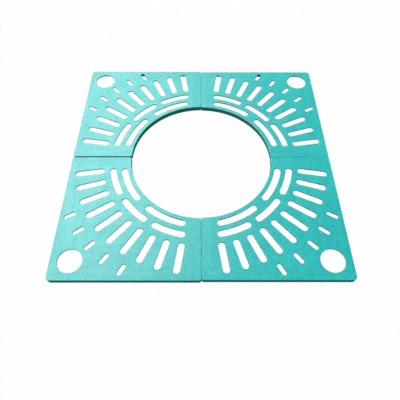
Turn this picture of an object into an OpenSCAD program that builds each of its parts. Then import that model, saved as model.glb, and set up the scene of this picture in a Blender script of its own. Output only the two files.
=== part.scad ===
// Square tree grate of four loose quarter panels round a circular opening.
// The origin is the centre of the opening at ground level, +Z is up and the front is -Y.
// Each panel is drawn in its own quarter, x and y both positive, and turned into its place.

/* [Overall] */
// Side of one quarter panel
panel_w = 599; // [590:1:610]
// Height from the ground to the walking surface
grate_h = 25; // [24:1:32]
// Diameter of the opening for the trunk
opening_d = 650; // [630:2:656]
// Gap between the two rear panels
rear_gap = 0.6; // [0.4:0.2:6]
// Gap between the two front panels
front_gap = 0.6; // [0.4:0.2:6]
// Gap between the two left panels
left_gap = 5; // [0.4:0.2:8]
// Gap between the two right panels
right_gap = 0.6; // [0.4:0.2:6]

/* [Panel edges] */
// Radius of a panel's outer corner, seen from above
outer_corner_r = 16; // [10:1:22]
// Radius of the corners at the ends of a seam, seen from above
seam_corner_r = 8; // [5:1:12]
// Chamfer round the top edge of a panel
edge_chamfer = 2; // [1:0.5:3]

/* [Arc slots] */
// Width of the arc slots
arc_slot_w = 29; // [27:0.5:30]
// Solid land between the opening and the inner row of arc slots
rim_land = 18.5; // [17:0.5:20]
// Solid land between the two rows of arc slots
ring_land = 22; // [20:0.5:23]
// Solid band left beside each seam
seam_band = 66; // [62:1:70]
// Solid land between the two inner arc slots
inner_arc_land = 47.5; // [44:0.5:52]
// Solid land between neighbouring outer arc slots
outer_arc_land = 28.5; // [26:0.5:32]

/* [Ray slots] */
// Number of long ray slots in a panel
ray_count = 10; // [8:2:10]
// Angle from one ray slot to the next
ray_step = 8.05; // [7.9:0.05:8.1]
// Distance of the centre of the rays from both seams
ray_centre = 13; // [11:0.5:14]
// Width of a ray slot
ray_w = 28; // [26:0.5:30]
// Length of a ray slot, end to end
ray_len = 132; // [126:1:134]
// Land between the outer arc slots and the circle that the rays start on
ray_land = 9; // [8:0.5:10]
// Number of short ray slots in a panel
short_count = 5; // [3:2:5]
// Width of a short ray slot
short_w = 18; // [16:0.5:20]
// Length of a short ray slot, end to end
short_len = 51; // [46:1:53]
// Land between the rays and the circle that the short rays start on
short_land = 30; // [28:0.5:31]

/* [Corner hole] */
// Diameter of the round hole in a panel's outer corner
hole_d = 100; // [90:1:104]
// Distance of that hole's centre from both outer edges
hole_inset = 80; // [78:1:84]
// Chamfer round that hole's top edge
hole_chamfer = 1; // [0.5:0.25:1.5]

/* [Underside] */
// Thickness of the deck that carries the slots
deck_t = 5; // [4:0.5:6]
// Thickness of the skirt round the panel
skirt_t = 10; // [9:0.5:11]
// Thickness of the ribs under the deck
rib_t = 8; // [7:0.5:9]
// Depth of the ribs below the deck
rib_depth = 7; // [6.5:0.5:8]
// Width of the ledge of deck left bare round the corner hole
hole_ledge = 7; // [6:0.5:9]

/* [Reinforcing rods] */
// Diameter of the rods in the skirts
skirt_rod_d = 6; // [5:0.5:7]
// Diameter of the rods in the ribs
rib_rod_d = 4; // [3:0.5:4.5]
// Moulding left below the rods in the skirts
skirt_rod_cover = 2.5; // [2.5:0.5:4]
// Moulding left below the rods in the ribs
rib_rod_cover = 2; // [1.5:0.5:2.5]
// Moulding left beyond the end of a skirt rod
rod_end_cover = 20; // [16:1:26]
// Distance that a rib rod stops short of each end of its rib
rib_rod_stop = 10; // [9:0.5:14]

/* [Rest pads] */
// Distance of the pads' centres from the panel's faces
pad_inset = 21; // [20:0.5:23]
// Diameter of a pad's head
pad_head_d = 20; // [18:0.5:22]
// Thickness of a pad's head
pad_head_t = 4; // [3:0.5:5]
// How far the head stands out below the skirt
pad_proud = 1.5; // [1:0.25:2]
// Chamfer on the head's lower edge
pad_chamfer = 0.8; // [0.5:0.1:1]
// Diameter of a pad's stud
stud_d = 12; // [9:0.5:14]
// Length of a pad's stud
stud_len = 8; // [6:0.5:9]
// Clearance round a pad in its socket
pad_clear = 0.2; // [0.1:0.05:0.3]
// Wall left round a pad's head
boss_wall = 3.5; // [3:0.5:5]

/* [Hidden] */
$fn = 96;
// How far a cut runs past the face that it leaves
overrun = 1;
// How far a round corner or end runs into the arc that it joins, so that the two cross cleanly
bite = 0.05;

PANEL_COLOUR = [0.33, 0.80, 0.77];
ROD_COLOUR = [0.45, 0.42, 0.40];
PAD_COLOUR = [0.12, 0.12, 0.12];

opening_r = opening_d / 2;
deck_z = grate_h - deck_t;
rib_z = deck_z - rib_depth;
skirt_z = pad_proud;
skirt_rod_z = skirt_z + skirt_rod_cover + skirt_rod_d / 2;
rib_rod_z = rib_z + rib_rod_cover + rib_rod_d / 2;

// The two rows of arc slots: radius of the middle of each, and the angles of its end centres
inner_arc_r = opening_r + rim_land + arc_slot_w / 2;
outer_arc_r = inner_arc_r + arc_slot_w + ring_land;
inner_first = asin((seam_band + arc_slot_w / 2) / inner_arc_r);
inner_last = 45 - asin((inner_arc_land + arc_slot_w) / 2 / inner_arc_r);
outer_first = asin((seam_band + arc_slot_w / 2) / outer_arc_r);
outer_skip = 2 * asin((outer_arc_land + arc_slot_w) / 2 / outer_arc_r);
outer_count = 3;
outer_span = (90 - 2 * outer_first - (outer_count - 1) * outer_skip) / outer_count;
outer_firsts = [for (k = [0:outer_count - 1]) outer_first + k * (outer_span + outer_skip)];

// The rays spread from a centre that lies ray_centre inside both seams
ray_start = outer_arc_r + arc_slot_w / 2 + ray_land;
short_start = ray_start + ray_len + short_land;
ray_angles = [for (k = [0:ray_count - 1]) 45 + (k - (ray_count - 1) / 2) * ray_step];
short_angles = [for (k = [0:short_count - 1]) 45 + (k - (short_count - 1) / 2) * ray_step];

// Round ribs between the rows of slots, and the one between the rays and the short rays
inner_ring_r = inner_arc_r + (arc_slot_w + ring_land) / 2;
outer_ring_r = outer_arc_r + arc_slot_w / 2 + (ray_land + ray_centre) / 2;
cross_r = short_start - short_land / 2;
cross_half_span = (short_count + 1) / 2 * ray_step;

// The corner hole and the rib round it
hole_x = panel_w - hole_inset;
hole_rib_r = (hole_d + rib_t) / 2 + hole_ledge;

// Straight ribs between the rays, and between the short rays, each [angle, start, end]
rib_start = outer_ring_r - sqrt(2) * ray_centre;
ray_ribs = [for (k = [0:ray_count]) let (turn = (k - ray_count / 2) * ray_step)
    [45 + turn, rib_start, abs(turn) < cross_half_span ? cross_r : rib_end(45 + turn)]];
short_ribs = [for (k = [0:short_count]) let (turn = (k - short_count / 2) * ray_step)
    [45 + turn, cross_r, rib_end(45 + turn)]];

// The rounded corner where a seam meets the opening: its centre, its angle and where it ends
rim_corner_far = opening_r + seam_corner_r - bite;
rim_corner_y = sqrt(pow(rim_corner_far, 2) - pow(seam_corner_r, 2));
rim_corner_angle = asin(seam_corner_r / rim_corner_far);
rim_corner_x = opening_r * sin(rim_corner_angle);

// The pads stand in the four corners of a panel and in the two ends of its rim
pad_rim_y = sqrt(pow(opening_r + pad_inset, 2) - pow(pad_inset, 2));
pad_far = panel_w - pad_inset;
pad_places = [[pad_inset, pad_rim_y], [pad_rim_y, pad_inset], [pad_inset, pad_far],
    [pad_far, pad_inset], [pad_far, pad_far]];
boss_d = pad_head_d + 2 * (pad_clear + boss_wall);

// Each quarter's name, its turn about +Z, and the way that half of each gap moves it
QUARTERS = [
    ["rear_right", 0, [rear_gap, right_gap]],
    ["rear_left", 90, [-rear_gap, left_gap]],
    ["front_left", 180, [-front_gap, -left_gap]],
    ["front_right", 270, [front_gap, -right_gap]],
];
PIECES = ["panel", "edge_rods", "seam_rods", "rim_rod", "ring_rods", "rib_rods", "rest_pads"];

// Distance along a rib, from the centre of the rays, to the rib round the hole or to the skirt
function rib_end(angle) =
    let (off = abs(45 - angle),
        hole_far = sqrt(2) * (hole_x - ray_centre),
        miss = hole_far * sin(off),
        to_hole = hole_far * cos(off) - sqrt(max(0, pow(hole_rib_r, 2) - pow(miss, 2))),
        to_skirt = (panel_w - skirt_t / 2 - ray_centre) / cos(45 - off))
    miss < hole_rib_r ? to_hole : to_skirt;

// Draws its children and their mirror image across the panel's diagonal
module both_sides() {
    children();
    mirror([1, -1, 0]) children();
}

// What a rounded corner takes away from a square one
module corner_waste(r) {
    difference() {
        square(r + overrun);
        circle(r = r);
    }
}

// Outline of a panel, seen from above
module footprint() {
    difference() {
        square(panel_w);
        circle(r = opening_r);
        translate([panel_w - outer_corner_r, panel_w - outer_corner_r]) corner_waste(outer_corner_r);
        both_sides() {
            translate([seam_corner_r, panel_w - seam_corner_r]) rotate(90) corner_waste(seam_corner_r);
            difference() {
                translate([-overrun, rim_corner_y - 2 * seam_corner_r])
                    square([rim_corner_x + overrun, 2 * seam_corner_r]);
                translate([seam_corner_r, rim_corner_y]) circle(r = seam_corner_r);
            }
        }
    }
}

// Section of the cut that chamfers a top edge: the edge is at x = 0, with the panel at x < 0
module edge_section() {
    polygon([
        [-edge_chamfer, grate_h],
        [overrun, grate_h - edge_chamfer - overrun],
        [overrun, grate_h + overrun],
        [-edge_chamfer, grate_h + overrun],
    ]);
}

// Cone that chamfers the top edge of a round hole or opening about the origin
module round_edge_cut(r, chamfer) {
    translate([0, 0, grate_h - chamfer - overrun])
        cylinder(r1 = r - overrun, r2 = r + chamfer + overrun, h = chamfer + 2 * overrun);
}

// Chamfers along the straight top edges of a panel: the outer edges, then the seams
module straight_edge_cuts() {
    both_sides() {
        translate([seam_corner_r, 0, 0]) rotate([90, 0, 90])
            linear_extrude(panel_w - outer_corner_r - seam_corner_r)
                translate([panel_w, 0]) edge_section();
        translate([0, panel_w - seam_corner_r, 0]) rotate([90, 0, 0])
            linear_extrude(panel_w - seam_corner_r - rim_corner_y) mirror([1, 0]) edge_section();
    }
}

// Chamfer of a rounded corner about the origin, from the +X direction on
module corner_edge_cut(r, angle) {
    rotate_extrude(angle = angle) translate([r, 0]) edge_section();
}

// Chamfers of a panel's rounded corners: the outer one, then both ends of the seams
module corner_edge_cuts() {
    translate([panel_w - outer_corner_r, panel_w - outer_corner_r, 0])
        corner_edge_cut(outer_corner_r, 90);
    both_sides() {
        translate([seam_corner_r, panel_w - seam_corner_r, 0]) rotate([0, 0, 90])
            corner_edge_cut(seam_corner_r, 90);
        translate([seam_corner_r, rim_corner_y, 0]) rotate([0, 0, 180])
            corner_edge_cut(seam_corner_r, 90 - rim_corner_angle);
    }
}

// Plan of a straight slot along +X, with its inner end at a distance from the origin
module straight_slot_plan(start, length, w) {
    translate([start + w / 2, 0]) {
        circle(d = w);
        translate([length - w, 0]) circle(d = w);
        translate([0, -w / 2]) square([length - w, w]);
    }
}

// Plan of an arc slot about the centre of the opening, between the angles of its end centres
module arc_slot_plan(r, first, last) {
    far = 2 * r;
    intersection() {
        difference() {
            circle(r = r + arc_slot_w / 2);
            circle(r = r - arc_slot_w / 2);
        }
        polygon([[0, 0], far * [cos(first), sin(first)], far * [cos(last), sin(last)]]);
    }
    for (angle = [first, last]) rotate(angle) translate([r, 0]) circle(d = arc_slot_w + 2 * bite);
}

// Plan of all the slots of a panel
module slots_plan() {
    both_sides() arc_slot_plan(inner_arc_r, inner_first, inner_last);
    for (first = outer_firsts) arc_slot_plan(outer_arc_r, first, first + outer_span);
    translate([ray_centre, ray_centre]) {
        for (angle = ray_angles) rotate(angle) straight_slot_plan(ray_start, ray_len, ray_w);
        for (angle = short_angles) rotate(angle) straight_slot_plan(short_start, short_len, short_w);
    }
}

// Plan of a round rib about the origin
module ring_plan(r) {
    difference() {
        circle(r = r + rib_t / 2);
        circle(r = r - rib_t / 2);
    }
}

// Plan of a straight rib that starts and ends at distances from the origin
module rib_plan(start, end) {
    translate([start, -rib_t / 2]) square([end - start, rib_t]);
}

// Plan of the skirt that follows a panel's edge
module skirt_plan() {
    difference() {
        footprint();
        difference() {
            translate([skirt_t, skirt_t]) square(panel_w - 2 * skirt_t);
            circle(r = opening_r + skirt_t);
        }
    }
}

// Plan of all the ribs
module ribs_plan() {
    intersection() {
        footprint();
        union() {
            ring_plan(inner_ring_r);
            ring_plan(outer_ring_r);
            translate([hole_x, hole_x]) ring_plan(hole_rib_r);
            rotate(45) rib_plan(opening_r + skirt_t / 2, inner_ring_r);
            for (k = [1:outer_count - 1])
                rotate(outer_first + k * outer_span + (k - 1 / 2) * outer_skip)
                    rib_plan(inner_ring_r, outer_ring_r);
            translate([ray_centre, ray_centre]) {
                for (rib = concat(ray_ribs, short_ribs)) rotate(rib[0]) rib_plan(rib[1], rib[2]);
                intersection() {
                    ring_plan(cross_r);
                    polygon([[0, 0], for (side = [-1, 1]) 2 * cross_r *
                        [cos(45 + side * cross_half_span), sin(45 + side * cross_half_span)]]);
                }
            }
        }
    }
}

// Plan of the bosses that hold the rest pads
module bosses_plan() {
    for (place = pad_places) translate(place) circle(d = boss_d);
}

// Deck, ribs and skirt of a panel, before its chamfers and the spaces for rods and pads
module moulding() {
    translate([0, 0, deck_z]) linear_extrude(deck_t) difference() {
        footprint();
        slots_plan();
        translate([hole_x, hole_x]) circle(d = hole_d);
    }
    translate([0, 0, rib_z]) linear_extrude(deck_z - rib_z) difference() {
        union() {
            skirt_plan();
            ribs_plan();
            bosses_plan();
        }
        slots_plan();
        translate([hole_x, hole_x]) circle(d = hole_d + 2 * hole_ledge);
    }
    translate([0, 0, skirt_z]) linear_extrude(rib_z - skirt_z) {
        skirt_plan();
        bosses_plan();
    }
}

// One panel's moulding, in one piece, with its rods and pad studs cast or pushed into it
module panel() {
    color(PANEL_COLOUR) difference() {
        moulding();
        straight_edge_cuts();
        corner_edge_cuts();
        round_edge_cut(opening_r, edge_chamfer);
        translate([hole_x, hole_x, 0]) round_edge_cut(hole_d / 2, hole_chamfer);
        edge_rods();
        seam_rods();
        rim_rod();
        ring_rods();
        rib_rods();
        for (place = pad_places) translate([place.x, place.y, 0]) pad_socket();
    }
}

// Straight rod along +X from the origin, at a height
module straight_rod(length, d, z) {
    translate([0, 0, z]) rotate([0, 90, 0]) cylinder(d = d, h = length);
}

// Rod bent about the centre of the opening, from seam to seam, at a height
module bent_rod(r, d, z) {
    end_angle = asin(rod_end_cover / r);
    rotate([0, 0, end_angle]) rotate_extrude(angle = 90 - 2 * end_angle)
        translate([r, z]) circle(d = d);
}

// Rods in the skirts along the two outer edges
module edge_rods() {
    color(ROD_COLOUR) both_sides() translate([rod_end_cover, panel_w - skirt_t / 2, 0])
        straight_rod(panel_w - 2 * rod_end_cover, skirt_rod_d, skirt_rod_z);
}

// Rods in the skirts along the two seams
module seam_rods() {
    color(ROD_COLOUR) both_sides() translate([opening_r + rod_end_cover, skirt_t / 2, 0])
        straight_rod(panel_w - opening_r - 2 * rod_end_cover, skirt_rod_d, skirt_rod_z);
}

// Rod in the skirt round the opening
module rim_rod() {
    color(ROD_COLOUR) bent_rod(opening_r + skirt_t / 2, skirt_rod_d, skirt_rod_z);
}

// Rods in the two round ribs
module ring_rods() {
    color(ROD_COLOUR) {
        bent_rod(inner_ring_r, rib_rod_d, rib_rod_z);
        bent_rod(outer_ring_r, rib_rod_d, rib_rod_z);
    }
}

// Rods in the straight ribs between the rays
module rib_rods() {
    color(ROD_COLOUR) translate([ray_centre, ray_centre, 0]) for (rib = ray_ribs)
        rotate([0, 0, rib[0]]) translate([rib[1] + rib_rod_stop, 0, 0])
            straight_rod(rib[2] - rib[1] - 2 * rib_rod_stop, rib_rod_d, rib_rod_z);
}

// Space in a boss for one pad
module pad_socket() {
    translate([0, 0, skirt_z - overrun])
        cylinder(d = pad_head_d + 2 * pad_clear, h = pad_head_t - skirt_z + overrun);
    cylinder(d = stud_d + 2 * pad_clear, h = pad_head_t + stud_len + pad_clear);
}

// Rubber pads that a panel stands on, each with a stud pushed into its boss
module rest_pads() {
    color(PAD_COLOUR) for (place = pad_places) translate([place.x, place.y, 0]) {
        cylinder(d1 = pad_head_d - 2 * pad_chamfer, d2 = pad_head_d, h = pad_chamfer);
        translate([0, 0, pad_chamfer]) cylinder(d = pad_head_d, h = pad_head_t - pad_chamfer);
        cylinder(d = stud_d, h = pad_head_t + stud_len);
    }
}

for (q = QUARTERS) translate(q[2] / 2) rotate([0, 0, q[1]]) {
    panel();
    edge_rods();
    seam_rods();
    rim_rod();
    ring_rods();
    rib_rods();
    rest_pads();
}
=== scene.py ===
"""Looks of a square tree grate: four slotted composite quarter panels round a trunk opening.

Every panel is one moulding with eased slot edges, ribs and bosses underneath, rods cast in and
rubber pads below. The grate's sizes are in millimetres and degrees. Meshes, finishes, the studio
and the camera are in metres and radians.
"""
import logging
import math
from collections.abc import Callable, Iterable, Mapping, Sequence
from dataclasses import dataclass
from enum import Enum

import bpy
from bpy.types import ID, Material, Mesh, Node, NodeSocket, NodeTree, Object
from mathutils import Matrix, Vector


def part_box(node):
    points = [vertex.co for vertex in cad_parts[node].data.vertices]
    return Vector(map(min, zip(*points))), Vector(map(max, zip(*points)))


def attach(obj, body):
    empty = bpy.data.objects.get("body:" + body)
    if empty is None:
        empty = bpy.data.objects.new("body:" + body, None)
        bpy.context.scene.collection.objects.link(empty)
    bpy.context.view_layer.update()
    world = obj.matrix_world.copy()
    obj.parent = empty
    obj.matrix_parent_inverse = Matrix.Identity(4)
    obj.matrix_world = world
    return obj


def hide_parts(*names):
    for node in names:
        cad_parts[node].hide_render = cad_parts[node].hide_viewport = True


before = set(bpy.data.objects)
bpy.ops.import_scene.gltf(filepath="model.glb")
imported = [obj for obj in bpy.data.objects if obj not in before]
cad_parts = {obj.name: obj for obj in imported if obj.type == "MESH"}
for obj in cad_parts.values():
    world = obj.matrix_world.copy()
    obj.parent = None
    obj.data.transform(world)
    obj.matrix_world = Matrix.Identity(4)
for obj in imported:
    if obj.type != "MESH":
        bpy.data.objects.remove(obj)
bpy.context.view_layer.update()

MM = 0.001
SHARP_FROM = 32
ROUND_STEPS = 64
ARC_STEPS = 28
END_STEPS = 16

Point = tuple[float, float]
Section = list[tuple[float, float]]
Shape = Callable[[float], list[Point]]
Colour = tuple[float, float, float, float]
Place = tuple[float, float, float]
Sockets = Mapping[str, NodeSocket]

logging.basicConfig(level=logging.INFO, format="%(levelname)s %(message)s")
log = logging.getLogger("tree_grate")


class Quarter(Enum):
    """The four quarter panels, each with its number of quarter turns about +Z."""

    REAR_RIGHT = ("rear_right", 0)
    REAR_LEFT = ("rear_left", 1)
    FRONT_LEFT = ("front_left", 2)
    FRONT_RIGHT = ("front_right", 3)

    def __init__(self, label: str, turns: int) -> None:
        """Keeps the quarter's name in the frame and its turns."""
        self.label = label
        self.turns = turns

    @property
    def body(self) -> str:
        """The name of the body that the quarter's pieces ride on."""
        return f"{self.label}_quarter"

    def placement(self) -> Matrix:
        """The matrix that turns a piece drawn in the rear right quarter into this one.

        Returns:
            A turn about +Z and a shift, taken from the quarter's own panel in the frame.
        """
        low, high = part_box(f"{self.label}_panel")
        centre = (low + high) / 2
        half = (high - low) / 2
        turn = Matrix.Rotation(math.radians(90 * self.turns), 4, "Z")
        middle = Vector((centre.x, centre.y, 0))
        return Matrix.Translation(middle) @ turn @ Matrix.Translation((-half.x, -half.y, 0))


class Slot(Enum):
    """The material slots of the record that the pieces take their finishes from."""

    PANEL = "panel"
    RODS = "rods"
    PADS = "pads"


def arc(centre: Point, radius: float, start: float, end: float, steps: int) -> list[Point]:
    """Points along an arc, with both its ends.

    Args:
        centre: Centre of the arc.
        radius: Radius of the arc.
        start: Angle of the first point.
        end: Angle of the last point.
        steps: Number of equal steps between the two.

    Returns:
        One point more than there are steps.
    """
    angles = [math.radians(start + (end - start) * k / steps) for k in range(steps + 1)]
    return [(centre[0] + radius * math.cos(a), centre[1] + radius * math.sin(a)) for a in angles]


def linked(name: str, data: ID) -> Object:
    """A new object in the scene that holds some data.

    Args:
        name: Name of the object.
        data: Its mesh, light or camera.

    Returns:
        The object.
    """
    made = bpy.data.objects.new(name, data)
    bpy.context.scene.collection.objects.link(made)
    return made


def mesh_object(name: str, vertices: Iterable[Place],
                faces: Sequence[Sequence[int]] = ()) -> Object:
    """A new object with a plain mesh.

    Args:
        name: Name of the object and of its mesh.
        vertices: Its vertices, in metres.
        faces: The numbers of the vertices round each face.

    Returns:
        The object.
    """
    mesh = bpy.data.meshes.new(name)
    mesh.from_pydata(vertices, [], faces)
    return linked(name, mesh)


def bar(start: float, end: float) -> Shape:
    """A straight bar along +X between two distances from the origin, by half its width."""
    return lambda side: [(start, -side), (end, -side), (end, side), (start, side)]


def round_bar(start: float, end: float) -> Shape:
    """A straight bar along +X with round ends about two distances, by half its width."""
    return lambda r: (arc((end, 0), r, -90, 90, END_STEPS)
                      + arc((start, 0), r, 90, 270, END_STEPS))


def band(radius: float, half_span: float) -> Shape:
    """A band about the origin that spans an angle on both sides of +X, by half its width."""
    return lambda side: (arc((0, 0), radius + side, -half_span, half_span, ROUND_STEPS)
                         + arc((0, 0), radius - side, half_span, -half_span, ROUND_STEPS))


def round_band(radius: float, half_span: float) -> Shape:
    """A band about the origin with round ends, by half its width.

    Args:
        radius: Radius of its middle line.
        half_span: Angle from +X to the centre of a round end.

    Returns:
        What makes its outline.
    """
    first, last = (arc((0, 0), radius, angle, angle, 1)[0] for angle in (-half_span, half_span))

    def outline(r: float) -> list[Point]:
        """The outline for one width.

        Args:
            r: Half the width.

        Returns:
            Points counter-clockwise.
        """
        runs = (arc((0, 0), radius + r, -half_span, half_span, ARC_STEPS),
                arc(last, r, half_span, half_span + 180, END_STEPS),
                arc((0, 0), radius - r, half_span, -half_span, ARC_STEPS),
                arc(first, r, 180 - half_span, 360 - half_span, END_STEPS))
        return [point for run in runs for point in run[:-1]]
    return outline


def solid(name: str, levels: Section, shape: Shape) -> Object:
    """A closed solid lofted through outlines at rising heights.

    Args:
        name: Name of the new object.
        levels: The inset, radius or half width of each outline, and its height.
        shape: Makes an outline from the first of these, counter-clockwise.

    Returns:
        An object whose two ends are flat caps and whose faces point outwards.
    """
    rings = [shape(size) for size, _ in levels]
    count = len(rings[0])
    vertices = [(x * MM, y * MM, z * MM) for ring, (_, z) in zip(rings, levels) for x, y in ring]
    faces = [tuple(reversed(range(count)))]
    for low in range(0, len(vertices) - count, count):
        for k in range(count):
            after = (k + 1) % count
            faces.append((low + k, low + after, low + after + count, low + k + count))
    faces.append(tuple(range(len(vertices) - count, len(vertices))))
    return mesh_object(name, vertices, faces)


def turned(name: str, section: Section, steps: int) -> Object:
    """A closed solid turned about +Z, from the radius and height of each ring."""
    return solid(name, section, lambda radius: arc((0, 0), radius, 0, 360, steps)[:-1])


def discard(objects: Iterable[Object]) -> None:
    """Removes helper objects that only served to shape a piece."""
    for helper in objects:
        bpy.data.objects.remove(helper, do_unlink=True)


def evaluated(worker: Object) -> Mesh:
    """The plain mesh that an object's modifiers make; the modifiers are removed.

    Args:
        worker: Object with its modifiers live.

    Returns:
        A new mesh.
    """
    bpy.context.view_layer.update()
    depsgraph = bpy.context.evaluated_depsgraph_get()
    mesh = bpy.data.meshes.new_from_object(worker.evaluated_get(depsgraph))
    worker.modifiers.clear()
    return mesh


def finished_mesh(worker: Object, name: str) -> Mesh:
    """The plain mesh that an object's modifiers make, with crisp flats and soft rounds.

    Args:
        worker: Object with its modifiers live.
        name: Name of the mesh.

    Returns:
        A mesh with normals weighted by face area.
    """
    shaped = evaluated(worker)
    shaped.shade_smooth()
    shaped.set_sharp_from_angle(angle=math.radians(SHARP_FROM))
    worker.data = shaped
    weighted = worker.modifiers.new("flats stay flat", "WEIGHTED_NORMAL")
    weighted.keep_sharp = True
    mesh = evaluated(worker)
    mesh.name = name
    return mesh


@dataclass(frozen=True)
class EdgeRound:
    """A rounded top edge: how far it reaches into the top face and down the wall."""

    radius: float
    steps: int

    def eased(self, top: float) -> Section:
        """Levels of an outer edge, up to the flat of the top.

        Args:
            top: Height of the top.

        Returns:
            The inset and height of each level.
        """
        angles = [math.pi / 2 * k / self.steps for k in range(self.steps + 1)]
        return [(self.radius * (1 - math.cos(a)), top - self.radius * (1 - math.sin(a)))
                for a in angles]

    def flared(self, top: float, overrun: float) -> Section:
        """Levels of a cutter that rounds the edge it leaves.

        Args:
            top: Height of the face that is cut.
            overrun: How far the cutter stands above it.

        Returns:
            The growth and height of each level. The last one follows the round's tangent out of
            the face, so that the round meets the flat cleanly.
        """
        levels = self.eased(top)[:-1]
        steepness = math.pi / 2 * (self.steps - 1) / self.steps
        growth, height = levels[-1]
        rise = top + overrun - height
        return levels + [(growth + rise * math.tan(steepness), top + overrun)]


@dataclass(frozen=True)
class Outline:
    """A quarter panel seen from above, in the rear right quarter."""

    width: float
    opening_r: float
    outer_corner_r: float = 16
    seam_corner_r: float = 8
    corner_steps: int = 8
    opening_steps: int = 72

    def points(self, inset: float, outer_r: float, seam_r: float) -> list[Point]:
        """The outline, or one parallel to it.

        Args:
            inset: Distance of the outline inside the panel's faces.
            outer_r: Radius of its outer corner.
            seam_r: Radius of its four other corners.

        Returns:
            Points counter-clockwise, from the end of the opening on the X axis.
        """
        near = inset + seam_r
        from_centre = self.opening_r + inset + seam_r
        far = math.sqrt(from_centre ** 2 - near ** 2)
        lean = math.degrees(math.asin(near / from_centre))
        end = self.width - near
        outer = self.width - inset - outer_r
        steps = self.corner_steps
        rim = arc((0, 0), self.opening_r + inset, 90 - lean, lean, self.opening_steps)
        return (arc((far, near), seam_r, 180 + lean, 270, steps)
                + arc((end, near), seam_r, 270, 360, steps)
                + arc((outer, outer), outer_r, 0, 90, steps)
                + arc((near, end), seam_r, 90, 180, steps)
                + arc((near, far), seam_r, 180, 270 - lean, steps)
                + rim[1:-1])

    def inside(self, inset: float) -> list[Point]:
        """The outline drawn in by an inset that is smaller than every corner's radius."""
        return self.points(inset, self.outer_corner_r - inset, self.seam_corner_r - inset)


@dataclass(frozen=True)
class Fan:
    """Like pieces spread about a centre, and evenly on both sides of the panel's diagonal."""

    piece: Object
    count: int = 1
    step: float = 0
    centre: float = 0
    left_out: int = 0


@dataclass(frozen=True)
class SlotSizes:
    """Sizes of the slots and the lands between them."""

    arc_w: float = 29
    rim_land: float = 18.5
    ring_land: float = 22
    seam_band: float = 66
    inner_land: float = 47.5
    outer_land: float = 28.5
    outer_count: int = 3
    ray_centre: float = 13
    ray_step: float = 8.05
    ray_count: int = 10
    ray_w: float = 28
    ray_len: float = 132
    ray_land: float = 9
    short_count: int = 5
    short_w: float = 18
    short_len: float = 51
    short_land: float = 30
    hole_r: float = 50
    hole_inset: float = 80


@dataclass(frozen=True)
class UndersideSizes:
    """Sizes of what lies under the deck."""

    deck_t: float = 5
    skirt_t: float = 10
    rib_t: float = 8
    rib_depth: float = 7
    rib_foot: float = 0.8
    rib_draft: float = 0.4
    hole_ledge: float = 7
    boss_d: float = 27.4
    pocket_corner_r: float = 4
    pocket_round: EdgeRound = EdgeRound(2.5, 4)


@dataclass(frozen=True)
class PadSizes:
    """Sizes of a rest pad and of its socket."""

    inset: float = 21
    head_d: float = 20
    head_t: float = 4
    stud_d: float = 12
    stud_len: float = 8
    clear: float = 0.2
    sole_r: float = 1
    sole_round: EdgeRound = EdgeRound(0.8, 4)
    head_round: EdgeRound = EdgeRound(0.4, 2)
    groove_w: float = 1.2
    groove_d: float = 0.5
    groove_radii: tuple[float, ...] = (4.5, 7.5, 10)
    neck: float = 0.3
    barbs: int = 3
    barb_rise: float = 0.5
    barb_fall: float = 0.1
    tip_len: float = 1
    tip_inset: float = 0.8
    steps: int = 48


class Nodes:
    """A small helper that adds and joins the nodes of one tree."""

    def __init__(self, tree: NodeTree) -> None:
        """Keeps the tree that the nodes go into."""
        self.tree = tree

    def feed(self, socket: NodeSocket, value: object) -> None:
        """Joins an output to an input, or sets the input to a plain value.

        Args:
            socket: The input.
            value: The output or the plain value.
        """
        if isinstance(value, NodeSocket):
            self.tree.links.new(value, socket)
        else:
            socket.default_value = value

    def add(self, kind: str, inputs: Mapping[str | int, object] | None = None,
            **settings: object) -> Node:
        """Adds a node.

        Args:
            kind: The node's type name.
            inputs: An output or a plain value for each input, by its name or number.
            settings: Properties of the node, by name.

        Returns:
            The new node.
        """
        node = self.tree.nodes.new(kind)
        for name, value in settings.items():
            setattr(node, name, value)
        for place, value in (inputs or {}).items():
            self.feed(node.inputs[place], value)
        return node

    def math(self, operation: str, first: object, second: object = 0.0,
             third: object = 0.0, clamp: bool = False) -> NodeSocket:
        """Adds a math node whose inputs are sockets or numbers, and returns its output."""
        return self.add("ShaderNodeMath", {0: first, 1: second, 2: third},
                        operation=operation, use_clamp=clamp).outputs[0]

    def ramp(self, value: object, low: object, high: object) -> NodeSocket:
        """Turns a value into a mask that rises smoothly from nought at low to one at high."""
        return self.add("ShaderNodeMapRange", {"Value": value, "From Min": low, "From Max": high},
                        interpolation_type="SMOOTHSTEP").outputs[0]

    def mixed(self, share: object, first: object, second: object) -> NodeSocket:
        """Mixes two colours, sockets or plain ones, and returns the result."""
        return self.add("ShaderNodeMix", {0: share, 6: first, 7: second},
                        data_type="RGBA").outputs[2]

    def split(self, vector: NodeSocket) -> Sockets:
        """Splits a vector into its X, Y and Z."""
        return self.add("ShaderNodeSeparateXYZ", {0: vector}).outputs

    def noise(self, given: Sockets, vector: NodeSocket, detail: float,
              roughness: float) -> NodeSocket:
        """Adds a noise to a shader group.

        Args:
            given: The group's inputs, of which Scale and Seed are used.
            vector: Where the noise is read.
            detail: Number of its octaves.
            roughness: How strong the finer octaves are.

        Returns:
            The noise's value.
        """
        return self.add("ShaderNodeTexNoise", {
            "Vector": vector, "Scale": given["Scale"], "W": given["Seed"], "Detail": detail,
            "Roughness": roughness}, noise_dimensions="4D").outputs[0]


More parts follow.
